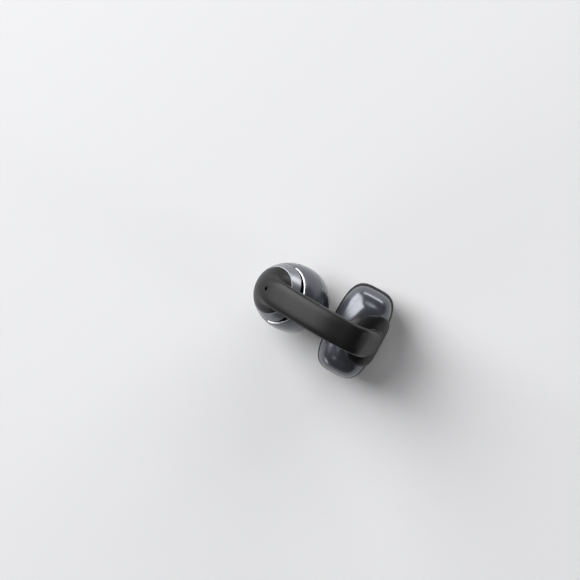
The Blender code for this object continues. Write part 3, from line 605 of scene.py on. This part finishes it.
def saddle_matrix():
    axis = Vector((math.cos(SADDLE_ANGLE), 0, math.sin(SADDLE_ANGLE)))
    turn = (-axis).to_track_quat("Z", "Y").to_matrix().to_4x4()
    x, z = BRIDGE_LINE[REAR_BASE]
    return Matrix.Translation((x * MM, 0, z * MM)) @ turn


def rear_shell_upper():
    shell = rear_shell("rear_shell_upper_visual", math.pi / 2, SEAM / 2,
                       ("gunmetal_gloss", "dark_plastic"), True)
    mouth = saddle_matrix()
    holes = [drill(SCREW_HOLE, 0.35, 3,
                   mouth @ Matrix.Translation((side * REAR_SCREW_Y * MM, 0, 0)))
             for side in (-1, 1)]
    carve(shell, prism((3.8, 1.9, 5.0), mouth), *holes)
    return shell


def rear_shell_lower():
    # The lower shell is near black outside as well as inside: painted reflection, standing in for
    # the dark edge reflection along the pod's lower side.
    shell = rear_shell("rear_shell_lower_visual", -math.pi / 2, -SEAM / 2,
                       ("dark_plastic", "dark_plastic"), False)
    wells = [drill(0.88, -1, 2, Matrix.Translation((BEAN_CENTRE[0] * MM, side * CONTACT_Y * MM, 0)))
             for side in (-1, 1)]
    carve(shell, *wells)
    return shell


def charge_contact(index, y):
    outline = rounded([(0.0, 0.93), (0.5, 0.93), (0.5, 0.45), (0.8, 0.4), (0.8, 0.0), (0.0, 0.0)],
                      [0, 0.04, 0, 0.03, 0.1, 0])
    rows = []
    for k in range(64):
        a = 2 * math.pi * k / 64
        rows.append([(BEAN_CENTRE[0] + r * math.cos(a), y + r * math.sin(a), z)
                     for r, z in outline])
    return made(f"charge_contact_{index}_visual", ("gold",), rows, closed=True)


# ---- the bridge ------------------------------------------------------------------------------
def natural_spline(points):
    """A smooth curve through points, with a continuous bend. Returns a function of the place."""
    knots = np.concatenate(([0], np.cumsum(np.linalg.norm(np.diff(points, axis=0), axis=1))))
    n = len(points)
    h = np.diff(knots)
    system, right = np.zeros((n, n)), np.zeros((n, 2))
    system[0, 0] = system[-1, -1] = 1
    for i in range(1, n - 1):
        system[i, i - 1:i + 2] = h[i - 1], 2 * (h[i - 1] + h[i]), h[i]
        right[i] = 6 * ((points[i + 1] - points[i]) / h[i]
                        - (points[i] - points[i - 1]) / h[i - 1])
    bends = np.linalg.solve(system, right)

    def at(place):
        i = int(min(max(math.floor(place), 0), n - 2))
        a, b = knots[i], knots[i + 1]
        t = a + (place - i) * (b - a)
        u, v, s = b - t, t - a, b - a
        return (bends[i] * u**3 / (6 * s) + bends[i + 1] * v**3 / (6 * s)
                + (points[i] / s - bends[i] * s / 6) * u
                + (points[i + 1] / s - bends[i + 1] * s / 6) * v)

    return at


LINE = natural_spline(BRIDGE_LINE)


def station(place):
    """(point, direction, outward) of the bridge's centre line."""
    ahead, behind = LINE(min(place + 0.01, 18)), LINE(max(place - 0.01, 0))
    x, z = (ahead - behind) / np.linalg.norm(ahead - behind)
    px, pz = LINE(place)
    return np.array((px, 0, pz)), np.array((x, 0, z)), np.array((-z, 0, x))


def section(place, width, thickness, power):
    middle, _, outward = station(place)
    c = np.array([signed_power(math.cos(t), 2 / power) for t in TURNS])
    s = np.array([signed_power(math.sin(t), 2 / power) for t in TURNS])
    return middle + np.outer(c * thickness, outward) + np.outer(s * width, AXIS_Y)


def strap_ring(place):
    return section(place, STRAP_WIDTH, STRAP_THICKNESS, STRAP_POWER)


def channel_ring(place):
    return section(place, CHANNEL_WIDTH, CHANNEL_THICKNESS, CHANNEL_POWER)


def root_ring(height, radius):
    middle = EGG_CENTRE + AXIS_N * height
    return middle + radius * (np.outer(np.sin(TURNS), AXIS_Y) - np.outer(np.cos(TURNS), AXIS_P))


def bean_point(angle, y, lift):
    reach = BEAN_WIDTH * abs(math.cos(angle)) ** (2 / BEAN_POWER)
    share = min(1.0, abs(y) / (reach + BEAN_LONGER))
    across = math.copysign(reach * (1 - share**PLAN_POWER) ** (1 / PLAN_POWER), math.cos(angle))
    rise = BEAN_HEIGHT * signed_power(math.sin(angle), 2 / BEAN_POWER)
    return (BEAN_CENTRE + np.array((across, y, rise))
            + lift * np.array((math.cos(angle), 0, math.sin(angle))))


def saddle_ring(share, lift=None):
    """A ring of the saddle at a share of its outline, domed unless a lift is given."""
    ring = []
    for turn in TURNS:
        full = 0.15 + 0.85 * (1 - math.cos(turn)) / 2
        dome = SADDLE_GAP + SADDLE_EDGE + SADDLE_DOME * full * math.sqrt(max(0, 1 - share**2))
        angle = SADDLE_ANGLE - math.cos(turn) * share * SADDLE_SPAN
        ring.append(bean_point(angle, math.sin(turn) * share * SADDLE_WIDTH,
                               dome if lift is None else lift))
    return np.array(ring)


def unit(vectors):
    return vectors / np.linalg.norm(vectors, axis=1, keepdims=True)


def flare(start, start_pull, end, end_pull, count):
    """Rings between two rings, each point on a smooth curve with the pulls at its ends."""
    rings = []
    for t in np.linspace(0, 1, count)[1:-1]:
        rings.append(start * (2 * t**3 - 3 * t**2 + 1) + start_pull * (t**3 - 2 * t**2 + t)
                     + end * (3 * t**2 - 2 * t**3) + end_pull * (t**3 - t**2))
    return rings


def bridge_sleeve():
    rings = [root_ring(EGG_TOP + SEAM, ROOT_RADIUS - 0.12),
             root_ring(EGG_TOP + SEAM + 0.03, ROOT_RADIUS - 0.03)]
    rings += [root_ring(h, egg_radius(h) - 0.05) for h in spread(6.05, 6.8, 9)]
    top = 6.8
    root = strap_ring(FRONT_ROOT)
    along = station(FRONT_ROOT)[1]
    chords = np.linalg.norm(root - rings[-1], axis=1, keepdims=True)
    radial = unit(rings[-1] - (EGG_CENTRE + AXIS_N * top))
    slope = -(EGG_RADIUS**2 * top) / (EGG_LENGTH**2 * egg_radius(top))
    under = (((1 - np.cos(TURNS)) / 2) ** 2)[:, None]
    leave = unit(unit(AXIS_N + radial * slope) * (1 - under) + along * under)
    rings += flare(rings[-1], leave * chords * 1.1, root, along * chords * 0.9, 44)
    rings += [strap_ring(p) for p in spread(FRONT_ROOT, REAR_ROOT, 120)]
    crown = saddle_ring(0.6)
    arrive = unit(crown - saddle_ring(0.54))
    chords = np.linalg.norm(crown - rings[-1], axis=1, keepdims=True)
    rings += flare(rings[-1], station(REAR_ROOT)[1] * chords, crown, arrive * chords * 0.8, 44)
    rings += [saddle_ring(math.sin(t)) for t in spread(math.asin(0.6), math.pi / 2 - 0.06, 20)]
    edge, low = saddle_ring(1.0), saddle_ring(1.0, SADDLE_GAP)
    rings += [edge * 0.85 + low * 0.15, edge * 0.4 + low * 0.6]
    rings += [saddle_ring(s, SADDLE_GAP) for s in (0.985, 0.9, 0.78, 0.66, 0.56)]
    rings += [channel_ring(p) for p in spread(REAR_BASE - 0.5, FRONT_BASE + 0.5, 90)]
    seat = EGG_CENTRE + AXIS_N * (EGG_TOP + SEAM)
    last = channel_ring(FRONT_BASE)
    rings.append(last - np.outer((last - seat) @ AXIS_N, AXIS_N))
    sleeve = made("bridge_sleeve", ("soft_black",), rings, closed=True)
    middle, _, outward = station(MIC)
    turn = Vector(outward).to_track_quat("Z", "Y").to_matrix().to_4x4()
    carve(sleeve, drill(0.4, 0.45, 2.6, Matrix.Translation(Vector(middle) * MM) @ turn))
    return sleeve


def strip(name, slot, half_width, half_thickness, offset, first, last):
    corner = half_thickness * 0.6
    outline = rounded([(half_thickness, -half_width), (half_thickness, half_width),
                       (-half_thickness, half_width), (-half_thickness, -half_width)],
                      [corner] * 4, 4)
    rows = []
    for place in spread(first, last, 130):
        middle, _, outward = station(place)
        rows.append([middle + outward * (offset + u) + AXIS_Y * v for u, v in outline])
    return made(name, (slot,), rows)


# ---- putting the pieces in place -------------------------------------------------------------
def settle(obj, body, slot, *nodes):
    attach(obj, body)
    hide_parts(*nodes)


def settle_flexing(obj, slot, *nodes):
    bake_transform(obj)
    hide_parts(*nodes)


def paint_frame():
    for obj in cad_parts.values():
        name = obj.data.materials[0].name.split(".")[0]
        obj.data.materials[0] = PAINTS[name]


def build():
    settle(front_shell_upper(), "front_pod", "gunmetal_gloss", "front_shell_upper")
    settle(neck_collar(), "front_pod", "pale_grey_gloss", "neck_collar")
    settle(vent_trim(), "front_pod", "chrome", "vent_trim")
    settle(vent_mesh(), "front_pod", "mesh_black", "vent_mesh")
    settle(front_shell_lower(), "front_pod", "gunmetal_gloss", "front_shell_lower")
    settle(skin_contact_pad(), "front_pod", "soft_black", "skin_contact_pad")
    settle(rear_shell_upper(), "rear_pod", "gunmetal_gloss", "rear_shell_upper")
    # The rear pod's lower shell is painted near black: painted reflection of its dark edge.
    settle(rear_shell_lower(), "rear_pod", "dark_plastic", "rear_shell_lower")
    for index, y in ((1, -CONTACT_Y), (2, CONTACT_Y)):
        settle(charge_contact(index, y), "rear_pod", "gold", f"charge_contact_{index}")
    settle_flexing(bridge_sleeve(), "soft_black", "bridge_sleeve_front", "bridge_sleeve_rear")
    settle_flexing(strip("spring_strip", "nickel", 1.3, 0.13, -0.44, 1, 17), "nickel",
                   "bridge_spring_strip")
    settle_flexing(strip("flex_cable", "film", 1.0, 0.05, -0.17, 0, 18), "film",
                   "bridge_flex_cable")


# ---- floor, light and camera -----------------------------------------------------------------
def floor():
    paint = Paint("floor", (0.8, 0.8, 0.81), 0.75, specular=0.1)
    cloud = paint.noise(6, 2)
    paint.vary_colour(cloud, (0.79, 0.79, 0.8), (0.81, 0.81, 0.82))
    mesh = bpy.data.meshes.new("floor")
    reach = 8.0
    mesh.from_pydata([(-reach, -reach, 0), (reach, -reach, 0), (reach, reach, 0),
                      (-reach, reach, 0)], [], [(0, 1, 2, 3)])
    mesh.materials.append(paint.made)
    obj = bpy.data.objects.new("floor", mesh)
    bpy.context.scene.collection.objects.link(obj)


def softbox(name, place, size, power, aim=(0, 0, 0.012), colour=(1, 1, 1)):
    data = bpy.data.lights.new(name, "AREA")
    data.shape = "RECTANGLE"
    data.size, data.size_y = size
    data.energy = power
    data.color = colour
    obj = bpy.data.objects.new(name, data)
    bpy.context.scene.collection.objects.link(obj)
    obj.location = place
    obj.rotation_euler = (Vector(aim) - Vector(place)).to_track_quat("-Z", "Y").to_euler()


def studio():
    world = bpy.data.worlds.new("studio")
    bpy.context.scene.world = world
    world.use_nodes = True
    world.node_tree.nodes["Background"].inputs["Color"].default_value = (0.95, 0.97, 1.0, 1)
    world.node_tree.nodes["Background"].inputs["Strength"].default_value = 0.07
    softbox("left_key", (-1.0, 0.28, 0.56), (0.9, 1.6), 30)
    softbox("right_low", (1.1, 0.1, 0.1), (0.16, 1.0), 2.4)
    softbox("far_low", (0.0, 1.2, 0.3), (1.2, 0.4), 10.4)
    softbox("near_kicker", (-0.56, -0.9, 0.2), (0.5, 0.24), 2.0)
    bpy.context.scene.view_settings.view_transform = "Standard"


def camera():
    data = bpy.data.cameras.new("camera")
    obj = bpy.data.objects.new("camera", data)
    bpy.context.scene.collection.objects.link(obj)
    data.sensor_width = 36
    data.lens = 400
    tilt = math.radians(5.5)
    flat = Vector((0, math.cos(tilt), -math.sin(tilt)))
    back = Vector((0, math.sin(tilt), math.cos(tilt)))
    roll = math.radians(28)
    right = Vector((1, 0, 0)) * math.cos(roll) + flat * math.sin(roll)
    up = flat * math.cos(roll) - Vector((1, 0, 0)) * math.sin(roll)
    width = 0.1102
    aim = Vector((0, 0, 0.0235)) - right * 0.00483 + up * 0.00559
    distance = width / 2 / math.tan(math.atan(data.sensor_width / 2 / data.lens))
    turn = Matrix((right, up, back)).transposed().to_4x4()
    obj.matrix_world = Matrix.Translation(aim + back * distance) @ turn
    data.clip_start, data.clip_end = 0.01, 10
    bpy.context.scene.camera = obj


paint_frame()
build()
floor()
studio()
camera()
